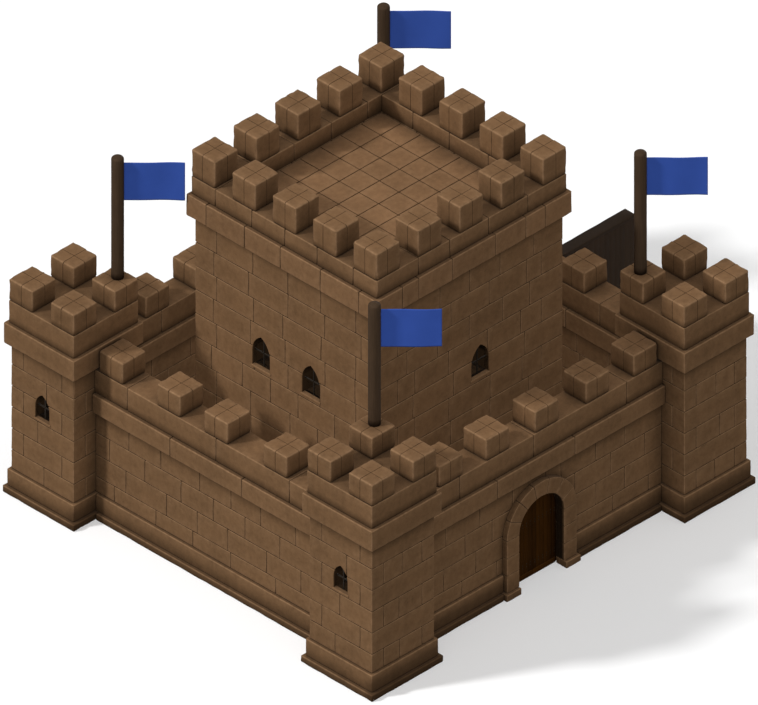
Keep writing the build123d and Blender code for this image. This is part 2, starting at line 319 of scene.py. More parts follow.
def cut(item, cutters):
    """Cut holes through an object and keep the cut mesh."""
    for cutter in cutters:
        hole = item.modifiers.new("hole", "BOOLEAN")
        hole.operation = "DIFFERENCE"
        hole.solver = "EXACT"
        hole.object = cutter
    graph = bpy.context.evaluated_depsgraph_get()
    solid = bpy.data.meshes.new_from_object(item.evaluated_get(graph), depsgraph=graph)
    solid.name = item.name
    item.modifiers.clear()
    item.data = solid


def masonry(name, layers, nodes, stone="wall", rooms=()):
    """One piece of stones and mortar that stands for CAD nodes; layers are (blocks, kind, cutters).
    Faces inside the rooms, each a pair of corners, are darkened as painted shade."""
    whole = bmesh.new()
    for blocks, kind, cutters in layers:
        item = show(blocks.mesh(name), MATERIALS[stone])
        if cutters:
            cut(item, cutters)
        start = len(whole.faces)
        whole.from_mesh(item.data)
        whole.faces.ensure_lookup_table()
        for face in whole.faces[start:]:
            face.material_index = kind
            face.smooth = True
        bpy.data.objects.remove(item)
    mesh = bpy.data.meshes.new(name)
    whole.to_mesh(mesh)
    whole.free()
    mesh.set_sharp_from_angle(angle=SHARP_ANGLE)
    places = np.empty(3 * len(mesh.vertices), np.float32)
    mesh.vertices.foreach_get("co", places)
    places = places.reshape(-1, 3)
    joint = np.empty(len(mesh.vertices), np.float32)
    mesh.attributes["joint"].data.foreach_get("value", joint)
    for low, high in rooms:
        # Points inside the rooms and window reveals are darkened as painted shade
        joint[((places > low) & (places < high)).all(axis=1)] = ROOM_SHADE
    mesh.attributes["joint"].data.foreach_set("value", joint)
    piece = show(mesh, MATERIALS[stone])
    piece.name = name
    mesh.materials.append(MATERIALS["mortar"])
    weighted = piece.modifiers.new("weighted", "WEIGHTED_NORMAL")
    weighted.weight = NORMAL_WEIGHT
    weighted.keep_sharp = True
    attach(piece, "castle")
    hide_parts(*nodes)


# Laying stones in courses

def run_joints(start, end, target, parity):
    """Joints along a run of stones of about the target length, half a stone over in odd courses."""
    count = max(1, round((end - start) / target + (dice.random() - 0.5) * COUNT_SPREAD))
    step = (end - start) / count
    places = start + step * (np.arange(count + 1) + 0.5 * parity)
    places = places + (dice.random(len(places)) - 0.5) * JOINT_SPREAD * step
    inside = [p for p in places if start + END_SHARE * step < p < end - END_SHARE * step]
    return [start, *inside, end]


def lay_run(stones, low, high, axis, target, parity, **finish):
    """A single row of stones between two corners, jointed along one axis."""
    joints = run_joints(low[axis], high[axis], target, parity)
    gap = [0.0, 0.0, JOINT_BED]
    gap[axis] = JOINT_RUN
    for a, b in zip(joints, joints[1:]):
        first, second = list(low), list(high)
        first[axis], second[axis] = a, b
        stones.block(first, second, gap=gap, **finish)


def lay_ring(stones, low, high, depth, target, parity, **finish):
    """A square ring of stones whose corner stones lap one way and the other by turns."""
    x0, y0, z0 = low
    x1, y1, z1 = high
    over_x, over_y = (0, depth) if parity == 0 else (depth, 0)
    for a, b in ((y0, y0 + depth), (y1 - depth, y1)):
        lay_run(stones, (x0 + over_x, a, z0), (x1 - over_x, b, z1), 0, target, parity, **finish)
    for a, b in ((x0, x0 + depth), (x1 - depth, x1)):
        lay_run(stones, (a, y0 + over_y, z0), (b, y1 - over_y, z1), 1, target, parity, **finish)


def ring_core(low, high, depth, cutters=()):
    """Mortar behind a ring of stones: four layers end to end, because a cut needs single solids."""
    x0, y0, z0 = np.array(low) + (MORTAR_INSET, MORTAR_INSET, 0)
    x1, y1, z1 = np.array(high) - (MORTAR_INSET, MORTAR_INSET, 0)
    thick = depth - 2 * MORTAR_INSET
    sides = (
        ((x0, y0, z0), (x1, y0 + thick, z1)),
        ((x0, y1 - thick, z0), (x1, y1, z1)),
        ((x0, y0 + thick, z0), (x0 + thick, y1 - thick, z1)),
        ((x1 - thick, y0 + thick, z0), (x1, y1 - thick, z1)),
    )
    layers = []
    for a, b in sides:
        core = Blocks()
        core.plain(a, b)
        layers.append((core, MORTAR_LAYER, cutters))
    return layers


def slab_core(mortar, low, high, axis):
    """Mortar behind a row of stones along an axis, let into what the row ends against."""
    inset = np.full(3, MORTAR_INSET)
    inset[axis] = -END_BITE
    mortar.plain(np.array(low) + inset, np.array(high) - inset)


def footing_shade(points):
    """Painted shade that deepens towards the ground up a footing, most on its shaded front."""
    below = np.clip(PLINTH_TOP - points[:, 2], 0, None)
    front = points[:, 1] < points[:, 1].min() + FRONT_DEPTH
    return FOOTING_SHADE_RISE * below / PLINTH_TOP + FOOTING_SHADE_FRONT * front * np.clip(below / FOOTING_SHADE_FADE, 0, 1)


# Footings darken at the ground edge and up towards the ground as painted shade
FOOTING_FINISH = {"bevel": FOOTING_BEVEL, "foot": GROUND_SHADE, "stain": footing_shade}


def bedded(stones, mortar):
    """Layers of stones with mortar behind them, for a piece without holes."""
    return (stones, STONE_LAYER, []), (mortar, MORTAR_LAYER, [])


def merlon(stones, low, high):
    """A merlon with rounded arrises, jointed crosswise into four upright stones."""
    middle = (np.array(low) + high) / 2
    middle = middle + (*((dice.random(2) - 0.5) * MERLON_JOINT_SPREAD), 0)
    stones.block(low, high, scores=([middle[0]], [middle[1]], []), **MERLON_FINISH)


def courses_down(low, high, height, top=None):
    """Parity, bottom, top and finish of each course from the wall's top down, with what is left
    at its foot."""
    levels = [high, high - (top or height)]
    while levels[-1] - height > low + LEAST_COURSE_SHARE * height:
        levels.append(levels[-1] - height)
    levels.append(low)
    # The top course darkens along its head, under the crest, as painted shade
    return [(number % 2, z0, z1, {"head": 0 if number else HEAD_SHADE})
            for number, (z0, z1) in enumerate(zip(levels[1:], levels))]


# Materials

MORTAR = (0.046, 0.0258, 0.0128)
# Colour that dirt and painted shade darken the stone towards
DIRT_AND_SHADE_COLOUR = (0.009, 0.0050, 0.0025)
# Painted shade in hollow corners: its strength, reach and samples
CORNER_SHADE = 1.05
CORNER_SHADE_REACH = 0.90
CORNER_SHADE_SAMPLES = 8
PIT_DIRT = 0.10
PIT_START = 0.62
PIT_FULL = 0.70
IRON = (0.020, 0.0145, 0.010)
CLOTH = (0.0370, 0.0860, 0.3690)


def new_material(name):
    material = bpy.data.materials.new(name)
    material.use_nodes = True
    return material, material.node_tree


def noise(tree, scale, detail=4, roughness=0.55, stretch=None):
    """A noise texture in metres, stretched along an axis where asked."""
    texture = tree.nodes.new("ShaderNodeTexNoise")
    texture.inputs["Scale"].default_value = scale
    texture.inputs["Detail"].default_value = detail
    texture.inputs["Roughness"].default_value = roughness
    place = tree.nodes.new("ShaderNodeTexCoord")
    if stretch is None:
        tree.links.new(place.outputs["Object"], texture.inputs["Vector"])
    else:
        mapping = tree.nodes.new("ShaderNodeMapping")
        mapping.inputs["Scale"].default_value = stretch
        tree.links.new(place.outputs["Object"], mapping.inputs["Vector"])
        tree.links.new(mapping.outputs["Vector"], texture.inputs["Vector"])
    return texture.outputs["Fac"]


def attribute(tree, name):
    node = tree.nodes.new("ShaderNodeAttribute")
    node.attribute_name = name
    return node.outputs["Fac"]


def sum_of(tree, terms, start):
    """start plus each value times its weight, as a chain of multiply-add nodes."""
    total = None
    for value, weight in terms:
        node = tree.nodes.new("ShaderNodeMath")
        node.operation = "MULTIPLY_ADD"
        tree.links.new(value, node.inputs[0])
        node.inputs[1].default_value = weight
        if total is None:
            node.inputs[2].default_value = start
        else:
            tree.links.new(total, node.inputs[2])
        total = node.outputs[0]
    return total


def scaled_colour(tree, colour, value):
    """A base colour whose brightness follows a value that varies over the surface."""
    shade = tree.nodes.new("ShaderNodeHueSaturation")
    shade.inputs["Color"].default_value = (*colour, 1)
    tree.links.new(value, shade.inputs["Value"])
    return shade.outputs["Color"]


def mixed(tree, factor, a, b):
    """Colour a where factor is 0 and b where it is 1; a and b are sockets or colours."""
    mix = tree.nodes.new("ShaderNodeMix")
    mix.data_type = "RGBA"
    tree.links.new(factor, mix.inputs["Factor"])
    for socket, colour in ((mix.inputs["A"], a), (mix.inputs["B"], b)):
        if isinstance(colour, tuple):
            socket.default_value = (*colour, 1)
        else:
            tree.links.new(colour, socket)
    return mix.outputs["Result"]


def finished(material, colour, gloss, roughness, bump=None):
    """Complete a material: its colour, its gloss, the value that its roughness follows and the
    limits between which it does, and the height, strength and distance of its bump."""
    tree = material.node_tree
    shader = tree.nodes["Principled BSDF"]
    tree.links.new(colour, shader.inputs["Base Color"])
    shader.inputs["Specular IOR Level"].default_value = gloss
    value, low, high = roughness
    span = tree.nodes.new("ShaderNodeMapRange")
    span.inputs["To Min"].default_value = low
    span.inputs["To Max"].default_value = high
    tree.links.new(value, span.inputs["Value"])
    tree.links.new(span.outputs["Result"], shader.inputs["Roughness"])
    if bump is not None:
        height, strength, distance = bump
        relief = tree.nodes.new("ShaderNodeBump")
        relief.inputs["Strength"].default_value = strength
        relief.inputs["Distance"].default_value = distance
        tree.links.new(height, relief.inputs["Height"])
        tree.links.new(relief.outputs["Normal"], shader.inputs["Normal"])
    return material


def corner_shade(tree):
    """Painted shade: a value from ambient occlusion that grows where surfaces meet at a hollow
    corner.
    """
    hollow = tree.nodes.new("ShaderNodeAmbientOcclusion")
    hollow.samples = CORNER_SHADE_SAMPLES
    hollow.inputs["Distance"].default_value = CORNER_SHADE_REACH
    return sum_of(tree, ((hollow.outputs["AO"], -CORNER_SHADE),), CORNER_SHADE)


def stone_material(name, colour, edge, variation):
    """Brown dressed stone: broad weathering, streaks, mottling, fine grain, pits, paler rubbed
    edges that are partly a painted highlight, dirt and painted shade from its points, and painted
    shade where walls meet at a hollow corner."""
    material, tree = new_material(name)
    broad = noise(tree, scale=0.55, detail=3)
    mottle = noise(tree, scale=5.0, detail=8, roughness=0.62)
    grain = noise(tree, scale=34.0, detail=6, roughness=0.65)
    tint = attribute(tree, "tint")
    streak = noise(tree, scale=1.0, roughness=0.6, stretch=(4.0, 4.0, 0.45))
    terms = ((broad, 0.50), (mottle, 0.62), (grain, 0.24), (streak, 0.26), (tint, variation))
    # Noise averages a half, so this sum averages 1
    value = sum_of(tree, terms, start=0.19)
    base = scaled_colour(tree, colour, value)
    wear = attribute(tree, "wear")
    # Paler edges, as wear and painted highlight
    rub = sum_of(tree, ((mottle, 1.2),), start=-0.12)
    worn = tree.nodes.new("ShaderNodeMath")
    worn.operation = "MULTIPLY"
    worn.use_clamp = True
    tree.links.new(wear, worn.inputs[0])
    tree.links.new(rub, worn.inputs[1])
    rubbed = mixed(tree, worn.outputs[0], base, edge)
    pits = tree.nodes.new("ShaderNodeMapRange")
    pits.inputs["From Min"].default_value = PIT_START
    pits.inputs["From Max"].default_value = PIT_FULL
    pits.inputs["To Max"].default_value = PIT_DIRT
    tree.links.new(noise(tree, scale=7.0, detail=3, roughness=0.5), pits.inputs["Value"])
    pitted = mixed(tree, pits.outputs["Result"], rubbed, DIRT_AND_SHADE_COLOUR)
    # Darkening from the points: dirt in joints, and painted shade
    scored = mixed(tree, attribute(tree, "joint"), pitted, DIRT_AND_SHADE_COLOUR)
    # Painted shade in hollow corners
    corner_shaded = mixed(tree, corner_shade(tree), scored, DIRT_AND_SHADE_COLOUR)
    height = sum_of(tree, ((mottle, 0.7), (grain, 0.3)), start=0)
    return finished(material, corner_shaded, gloss=0.04, roughness=(mottle, 0.80, 0.98),
                    bump=(height, 0.35, 0.020))


def wood_material(name, colour, stretch, variation, gloss):
    """Weathered timber with grain along one axis and boards that differ a little, paler edges as
    wear and painted highlight, and painted shade in hollow corners.
    """
    material, tree = new_material(name)
    grain = noise(tree, scale=1.0, detail=8, roughness=0.62, stretch=stretch)
    patch = noise(tree, scale=1.3, detail=3)
    tint = attribute(tree, "tint")
    wear = attribute(tree, "wear")
    # Paler edges for wear and painted highlight, and painted shade in hollow corners
    terms = ((grain, 0.9), (patch, 0.3), (tint, variation), (wear, 0.22),
             (corner_shade(tree), -0.6))
    value = sum_of(tree, terms, start=0.38)
    return finished(material, scaled_colour(tree, colour, value), gloss,
                    roughness=(grain, 0.62, 0.92), bump=(grain, 0.5, 0.008))


def iron_material():
    """Black forged iron with a dull uneven skin."""
    material, tree = new_material("wrought_iron")
    pits = noise(tree, scale=26.0, detail=6, roughness=0.6)
    rust = noise(tree, scale=4.0)
    value = sum_of(tree, ((pits, 0.6), (rust, 0.5)), start=0.45)
    tree.nodes["Principled BSDF"].inputs["Metallic"].default_value = 0.2
    return finished(material, scaled_colour(tree, IRON, value), gloss=0.15,
                    roughness=(pits, 0.60, 0.85), bump=(pits, 0.3, 0.004))


def cloth_material():
    """Plain blue woven cloth: drawn-out threads in the bump, slight fading in the colour."""
    material, tree = new_material("flag_cloth")
    fade = noise(tree, scale=1.6)
    thread = noise(tree, scale=60.0, detail=2, roughness=0.5, stretch=(1.0, 1.0, 6.0))
    value = sum_of(tree, ((fade, 0.16), (thread, 0.10)), start=0.87)
    return finished(material, scaled_colour(tree, CLOTH, value), gloss=0.05,
                    roughness=(thread, 0.75, 0.95), bump=(thread, 0.15, 0.004))


def mortar_material():
    """Dark sandy mortar at the bottom of the joints."""
    material, tree = new_material("mortar")
    sand = noise(tree, scale=40.0)
    value = sum_of(tree, ((sand, 0.6),), start=0.7)
    return finished(material, scaled_colour(tree, MORTAR, value), gloss=0.03,
                    roughness=(sand, 0.90, 1.0))


STONE = (0.163, 0.0895, 0.0430)
# Colour of the paler edges, as wear and painted highlight
STONE_EDGE = (0.320, 0.192, 0.104)
MATERIALS = {
    "wall": stone_material("wall_stone", STONE, STONE_EDGE, 0.045),
    "deck": stone_material("deck_stone", (0.182, 0.099, 0.048), STONE_EDGE, 0.06),
    # Floors inside the rooms are darkened as painted shade
    "floor": stone_material("floor_stone", (0.050, 0.029, 0.015), STONE_EDGE, 0.06),
    "mortar": mortar_material(),
    "gate": wood_material("gate_timber", (0.030, 0.0108, 0.0014), (26.0, 26.0, 1.6), 0.22, 0.02),
    "pole": wood_material("pole_timber", (0.052, 0.031, 0.017), (20.0, 20.0, 1.1), 0.10, 0.10),
    "wing": wood_material("wing_timber", (0.030, 0.018, 0.0105), (22.0, 22.0, 1.3), 0.10, 0.10),
    "iron": iron_material(),
    "cloth": cloth_material(),
}


# Windows

def window_outline(window):
    """Points round a pointed window, from the left of its sill, as across and up."""
    half, jamb, rise, sill = window
    radius = (rise**2 + half**2) / (2 * half)
    centre = radius - half
    top = math.acos(centre / radius)
    arc = [(radius * math.cos(t) - centre, sill + jamb + radius * math.sin(t))
           for t in np.linspace(0, top, WINDOW_STEPS)]
    right = [(half, sill), *arc]
    return [(-x, z) for x, z in right] + [(x, z) for x, z in reversed(right[:-1])]


cutters_used = []
bars = Blocks()


def cutter_of(mesh):
    """An object that cuts holes, to be removed after the last cut."""
    cutter = bpy.data.objects.new("cutter", mesh)
    scene.collection.objects.link(cutter)
    cutters_used.append(cutter)
    return cutter


def window_cutter(place, axis, window, depth):
    """A prism in the shape of a window, square to the X axis (0) or the Y axis (1)."""
    outline = window_outline(window)
    count = len(outline)
    fade = REVEAL_SHARE * window[0]
    offsets = (-depth, -fade, fade, depth)
    points = []
    for offset in offsets:
        for across, up in outline:
            spot = [place[0], place[1], up]
            spot[axis] += offset
            spot[1 - axis] += across
            points.append(spot)
    last = (len(offsets) - 1) * count
    faces = [tuple(range(count)), tuple(range(last + count - 1, last - 1, -1))]
    for start in range(0, last, count):
        ends = [(start + i, start + (i + 1) % count) for i in range(count)]
        faces += [(a, b, b + count, a + count) for a, b in ends]
    mesh = bpy.data.meshes.new("cutter")
    mesh.from_pydata(points, [], faces)
    shell = bmesh.new()
    shell.from_mesh(mesh)
    bmesh.ops.recalc_face_normals(shell, faces=shell.faces)
    shell.to_mesh(mesh)
    shell.free()
    return cutter_of(mesh)


def wall_box(axis, deep, across, up):
    """Low and high corner of a box from its limits through a wall, across it and upwards."""
    limits = [across, across, up]
    limits[axis] = deep
    return np.array(limits).T


def open_window(face, out, across, axis, window, thick):
    """Bar a window, and give what its wall needs: the cutter, the box of its reveal from just
    behind the outer face, darkened as painted shade, and the layer of its sill stone, which stands
    a little proud."""
    half, jamb, rise, sill = window
    place = (face, across) if axis == 0 else (across, face)
    cutter = window_cutter(place, axis, window, thick + CUT_OVERRUN)

    depth = face - out * BAR_DEPTH
    deep = (depth - BAR / 2, depth + BAR / 2)
    upright = (across - BAR / 2, across + BAR / 2), (sill, sill + jamb + rise - BAR / 2)
    crosswise = (across - half, across + half), (sill + jamb - BAR, sill + jamb)
    for limits in (upright, crosswise):
        bars.block(*wall_box(axis, deep, *limits), **BAR_FINISH)

    deep = sorted((face - out * REVEAL_SHARE * half * REVEAL_START_SHARE, face - out * thick))
    reveal = wall_box(axis, deep, (across - half - REVEAL_MARGIN, across + half + REVEAL_MARGIN),
                      (sill - REVEAL_MARGIN, sill + jamb + rise + REVEAL_MARGIN))

    stone = Blocks()
    stone.block(*wall_box(axis, (face - out * SILL_BACK, face + out * SILL_OUT),
                          (across - half - SILL_END, across + half + SILL_END),
                          (sill - SILL_HEIGHT, sill + SILL_RISE)), **SILL_FINISH)
    return cutter, reveal, (stone, STONE_LAYER, [])


# Corner towers

for corner, side_x in CORNERS.items():
    low, high = np.array(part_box(f"tower_shaft_{corner}"))
    shaft_low = low + (BASE_OUT, BASE_OUT, 0)
    shaft_high = high - (BASE_OUT, BASE_OUT, 0)
    stones = Blocks()
    footings = []
    for out, z0, z1 in FOOTING:
        footings.append(Blocks())
        footings[-1].block((*(shaft_low[:2] - out), z0), (*(shaft_high[:2] + out), z1),
                           **FOOTING_FINISH)
    for parity, z0, z1, finish in courses_down(PLINTH_TOP, high[2], TOWER_COURSE):
        lay_ring(stones, (*shaft_low[:2], z0), (*shaft_high[:2], z1), TOWER_WALL, TOWER_STONE,
                 parity, **finish)
    room_box = Blocks()
    room_box.plain((*(shaft_low[:2] + TOWER_WALL), -ROOM_OVERRUN),
                   (*(shaft_high[:2] - TOWER_WALL), PLINTH_TOP + ROOM_OVERRUN))
    room = cutter_of(room_box.mesh("cutter"))
    centre = (shaft_low + shaft_high) / 2
    face = shaft_high[0] if side_x > 0 else shaft_low[0]
    cutter, reveal, sill = open_window(face, side_x, centre[1], 0, TOWER_WINDOW, TOWER_WALL)
    layers = [(footing, STONE_LAYER, [room]) for footing in footings]
    layers += [(stones, STONE_LAYER, [cutter]), sill]
    layers += ring_core((*shaft_low[:2], PLINTH_TOP), (*shaft_high[:2], high[2]), TOWER_WALL,
                        [cutter])
    # The tower's room and its window reveal are darkened as painted shade
    reach = np.array((TOWER_WALL / 2, TOWER_WALL / 2, 0))
    masonry(f"tower_stones_{corner}", layers, [f"tower_shaft_{corner}"],
            rooms=[(shaft_low + reach, shaft_high - reach), reveal])

    low, high = np.array(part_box(f"tower_battlement_{corner}"))
    stones = Blocks()
    stones.block(low, (*high[:2], TOWER_CORNICE_TOP), bevel=CORNICE_BEVEL, step=CREST_GRID)
    inset = CORNICE_OUT - PARAPET_OUT
    parapet_low = (*(low[:2] + inset), TOWER_CORNICE_TOP)
    parapet_high = (*(high[:2] - inset), TOWER_PARAPET_TOP)
    # The parapet darkens at its foot as painted shade
    stones.block(parapet_low, parapet_high, bevel=PARAPET_BEVEL, step=CREST_GRID, foot=FOOT_SHADE)
    for x in (parapet_low[0], parapet_high[0] - MERLON):
        for y in (parapet_low[1], parapet_high[1] - MERLON):
            merlon(stones, (x, y, TOWER_PARAPET_TOP), (x + MERLON, y + MERLON, high[2]))
    masonry(f"tower_crest_{corner}", [(stones, STONE_LAYER, [])], [f"tower_battlement_{corner}"])


# Curtain walls

for side, axis in (("left", 1), ("right", 1), ("back", 0)):
    low, high = np.array(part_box(f"curtain_wall_{side}"))
    across = 1 - axis
    low[across] += BASE_OUT
    high[across] -= BASE_OUT
    stones, mortar = Blocks(), Blocks()
    for out, z0, z1 in FOOTING:
        a, b = [*low[:2], z0], [*high[:2], z1]
        a[across], b[across] = low[across] - out, high[across] + out
        a[axis], b[axis] = low[axis] + out, high[axis] - out
        stones.block(a, b, **FOOTING_FINISH)
    for parity, z0, z1, finish in courses_down(PLINTH_TOP, high[2], CURTAIN_COURSE):
        lay_run(stones, (*low[:2], z0), (*high[:2], z1), axis, WALL_STONE, parity, **finish)
    slab_core(mortar, (*low[:2], PLINTH_TOP), high, axis)
    masonry(f"curtain_stones_{side}", bedded(stones, mortar), [f"curtain_wall_{side}"])

# The front wall is laid in courses that stop at the gate recess and run on over it
left_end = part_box("front_wall_left")[0][0]
right_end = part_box("front_wall_right")[1][0]
over_low, over_high = np.array(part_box("front_wall_over_gate"))
front_y, back_y = over_low[1], over_high[1]
recess = over_high[0]
ring_outer = GATE_HALF + RING_WIDTH
stones, mortar = Blocks(), Blocks()
gate_margin = (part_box("gate_arch")[1][0] - ring_outer, 0)
for sign, end in ((-1, left_end), (1, right_end)):
    for margin, (out, z0, z1) in zip(gate_margin, FOOTING):
        near, far = sign * (ring_outer + margin), end - sign * out
        stones.block((near, front_y - out, z0), (far, front_y + FOOTING_DEPTH, z1),
                     **FOOTING_FINISH)
        stones.block((sign * recess, front_y, z0), (far, back_y + out, z1), **FOOTING_FINISH)
    a, b = sorted((sign * recess, end))
    for parity, z0, z1, finish in courses_down(PLINTH_TOP, over_high[2], CURTAIN_COURSE):
        lay_run(stones, (a, front_y, z0), (b, back_y, z1), 0, WALL_STONE, parity, **finish)
    slab_core(mortar, (a + 2 * MORTAR_INSET * (sign > 0), front_y, PLINTH_TOP),
              (b - 2 * MORTAR_INSET * (sign < 0), back_y, over_high[2]), 0)
# The top of the stones over the gate darkens as painted shade
lay_run(stones, over_low, over_high, 0, LINTEL_STONE, 0, head=HEAD_SHADE)
slab_core(mortar, over_low, over_high, 0)
masonry("front_curtain_stones", bedded(stones, mortar),
        ["front_wall_left", "front_wall_right", "front_wall_over_gate"])

# Merlons stand where the model has them: their starts as shares of the clear wall length
MERLON_SHARES = {
    "front": (0.104, 0.292, 0.488, 0.691, 0.882),
    "back": (0.110, 0.309, 0.503, 0.693, 0.882),
    "left": (0.183, 0.434, 0.635, 0.879),
    "right": (0.237, 0.470, 0.675, 0.879),
}
for side, axis in (("front", 0), ("back", 0), ("left", 1), ("right", 1)):
    low, high = np.array(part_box(f"curtain_battlement_{side}"))
    stones, mortar = Blocks(), Blocks()
    cornice_high = (*high[:2], CURTAIN_CORNICE_TOP)
    lay_run(stones, low, cornice_high, axis, CURTAIN_CREST_STONE, 0, bevel=CORNICE_BEVEL)
    slab_core(mortar, low, cornice_high, axis)
    parapet_low, parapet_high = low.copy(), high.copy()
    parapet_low[1 - axis] += CORNICE_OUT - PARAPET_OUT
    parapet_high[1 - axis] -= CORNICE_OUT - PARAPET_OUT
    parapet_low[2], parapet_high[2] = CURTAIN_CORNICE_TOP, CURTAIN_PARAPET_TOP
    # The parapet darkens at its foot as painted shade
    lay_run(stones, parapet_low, parapet_high, axis, CURTAIN_CREST_STONE, 1, bevel=PARAPET_BEVEL,
            foot=FOOT_SHADE)
    slab_core(mortar, parapet_low, parapet_high, axis)
    for share in MERLON_SHARES[side]:
        a, b = parapet_low.copy(), parapet_high.copy()
        a[axis] = low[axis] + share * (high[axis] - low[axis])
        b[axis] = a[axis] + MERLON
        a[2], b[2] = CURTAIN_PARAPET_TOP, high[2]
        merlon(stones, a, b)
    masonry(f"curtain_crest_{side}", bedded(stones, mortar), [f"curtain_battlement_{side}"])


# Keep

low = np.array(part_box("keep_wall_left")[0])
high = np.array(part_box("keep_wall_right")[1])
keep_low = low + (BASE_OUT, BASE_OUT, 0)
keep_high = high - (BASE_OUT, BASE_OUT, 0)
stones = Blocks()
keep_cores = []
for parity, (out, z0, z1) in enumerate(FOOTING):
    ring_low = (keep_low[0] - out, keep_low[1] - out, z0)
    ring_high = (keep_high[0] + out, keep_high[1] + out, z1)
    # Painted shade at the ground edge and up the footing
    lay_ring(stones, ring_low, ring_high, KEEP_WALL + out, CREST_STONE, parity,
             bevel=KEEP_FOOTING_BEVEL, foot=GROUND_SHADE, stain=footing_shade)
    keep_cores += ring_core(ring_low, (*ring_high[:2], z1 - MORTAR_INSET), KEEP_WALL + out)
for parity, z0, z1, finish in courses_down(PLINTH_TOP, high[2], KEEP_COURSE, KEEP_TOP_COURSE):
    lay_ring(stones, (*keep_low[:2], z0), (*keep_high[:2], z1), KEEP_WALL, WALL_STONE, parity,
             **finish)
# The keep's rooms and its window reveals are darkened as painted shade
keep_reach = np.array((KEEP_WALL / 2, KEEP_WALL / 2, 0))
keep_rooms = [(keep_low + keep_reach, keep_high - keep_reach)]
keep_windows = [(face, out, y, 0) for face, out in ((keep_low[0], -1), (keep_high[0], 1))
                for y in KEEP_SIDE_WINDOWS]
keep_windows += [(keep_low[1], -1, KEEP_END_WINDOW, 1), (keep_high[1], 1, KEEP_END_WINDOW, 1)]
keep_cutters = []
for window in keep_windows:
    cutter, reveal, sill = open_window(*window, KEEP_WINDOW, KEEP_WALL)
    keep_cutters.append(cutter)
    keep_rooms.append(reveal)
    keep_cores.append(sill)
keep_cores += ring_core((*keep_low[:2], PLINTH_TOP), (*keep_high[:2], high[2]), KEEP_WALL,
                        keep_cutters)
masonry("keep_stones", [(stones, STONE_LAYER, keep_cutters), *keep_cores],
        ["keep_wall_left", "keep_wall_right", "keep_wall_front", "keep_wall_back"],
        rooms=keep_rooms)

low, high = np.array(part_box("keep_roof_deck"))
parapet_low = np.array(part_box("keep_parapet_left")[0])
parapet_high = np.array(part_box("keep_parapet_right")[1])
stones, mortar = Blocks(), Blocks()
lay_ring(stones, low, high, KEEP_CORNICE_DEPTH, CREST_STONE, 1, bevel=KEEP_CORNICE_BEVEL)
mortar.plain(low + MORTAR_INSET, high - MORTAR_INSET)
deck_low = parapet_low[:2] + MERLON
deck_high = parapet_high[:2] - MERLON
columns, rows = (round(length / TILE_SIZE) for length in deck_high - deck_low)
xs = np.linspace(deck_low[0], deck_high[0], columns + 1)
ys = np.linspace(deck_low[1], deck_high[1], rows + 1)
for x0, x1 in zip(xs, xs[1:]):
    for y0, y1 in zip(ys, ys[1:]):
        stones.block((x0, y0, high[2] - TILE_THICK), (x1, y1, high[2]), **TILE_FINISH)
masonry("keep_roof_stones", bedded(stones, mortar), ["keep_roof_deck"], "deck")

stones = Blocks()
ring_high = (*parapet_high[:2], KEEP_PARAPET_TOP)
# The parapet darkens at its foot as painted shade
lay_ring(stones, parapet_low, ring_high, MERLON, CREST_STONE, 0, bevel=PARAPET_BEVEL,
         foot=FOOT_SHADE)
parapet_cores = ring_core(parapet_low, (*ring_high[:2], KEEP_PARAPET_TOP - MORTAR_INSET), MERLON)
merlons_x = np.linspace(parapet_low[0], parapet_high[0] - MERLON, KEEP_MERLONS)
merlons_y = np.linspace(parapet_low[1], parapet_high[1] - MERLON, KEEP_MERLONS)
outermost = (0, KEEP_MERLONS - 1)
for i, x in enumerate(merlons_x):
    for j, y in enumerate(merlons_y):
        if i in outermost or j in outermost:
            merlon(stones, (x, y, KEEP_PARAPET_TOP), (x + MERLON, y + MERLON, parapet_high[2]))
masonry("keep_crest_stones", [(stones, STONE_LAYER, []), *parapet_cores],
        ["keep_parapet_left", "keep_parapet_right", "keep_parapet_front", "keep_parapet_back"])


# Gate arch: jamb stones and wedge stones over the arch

arch_low, arch_high = np.array(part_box("gate_arch"))
ring_front = arch_low[1] + JAMB_BASE_SPREAD
arch, core = Blocks(), Blocks()
turn = math.pi / VOUSSOIRS
jamb_levels = np.linspace(BASE_TOP, GATE_SPRING, JAMB_STONES + 1)


def bent(points, start):
    """Bend a straight run along X round the arch head; Y is the way out from its inner face."""
    angle = start + points[:, 0] / (GATE_HALF + points[:, 1].mean())
    radius = GATE_HALF + points[:, 1]
    height = GATE_SPRING + radius * np.sin(angle)
    return np.stack((radius * np.cos(angle), points[:, 2], height), axis=1)


# The proud ring and the lining that runs on from it to the leaves' rebate: width, front, back
ring_parts = ((RING_WIDTH, ring_front, front_y), (recess - GATE_HALF, front_y, GATE_REBATE_Y))


def reveal_shade(depth, outward):
    """Painted shade on the arch's inner face that deepens from its front into the gateway."""
    inward = np.clip((depth - ring_front - REVEAL_SHADE_START) / REVEAL_SHADE_FADE, 0, 1)
    return REVEAL_SHADE * inward * (outward < RING_WIDTH / 2)


# Painted shade on a jamb stone
def jamb_shade(points):
    return reveal_shade(points[:, 1], np.abs(points[:, 0]) - GATE_HALF)


def wedge_shade(points):
    """Painted shade on a wedge stone, by its points before they are bent."""
    return reveal_shade(points[:, 2], points[:, 1])


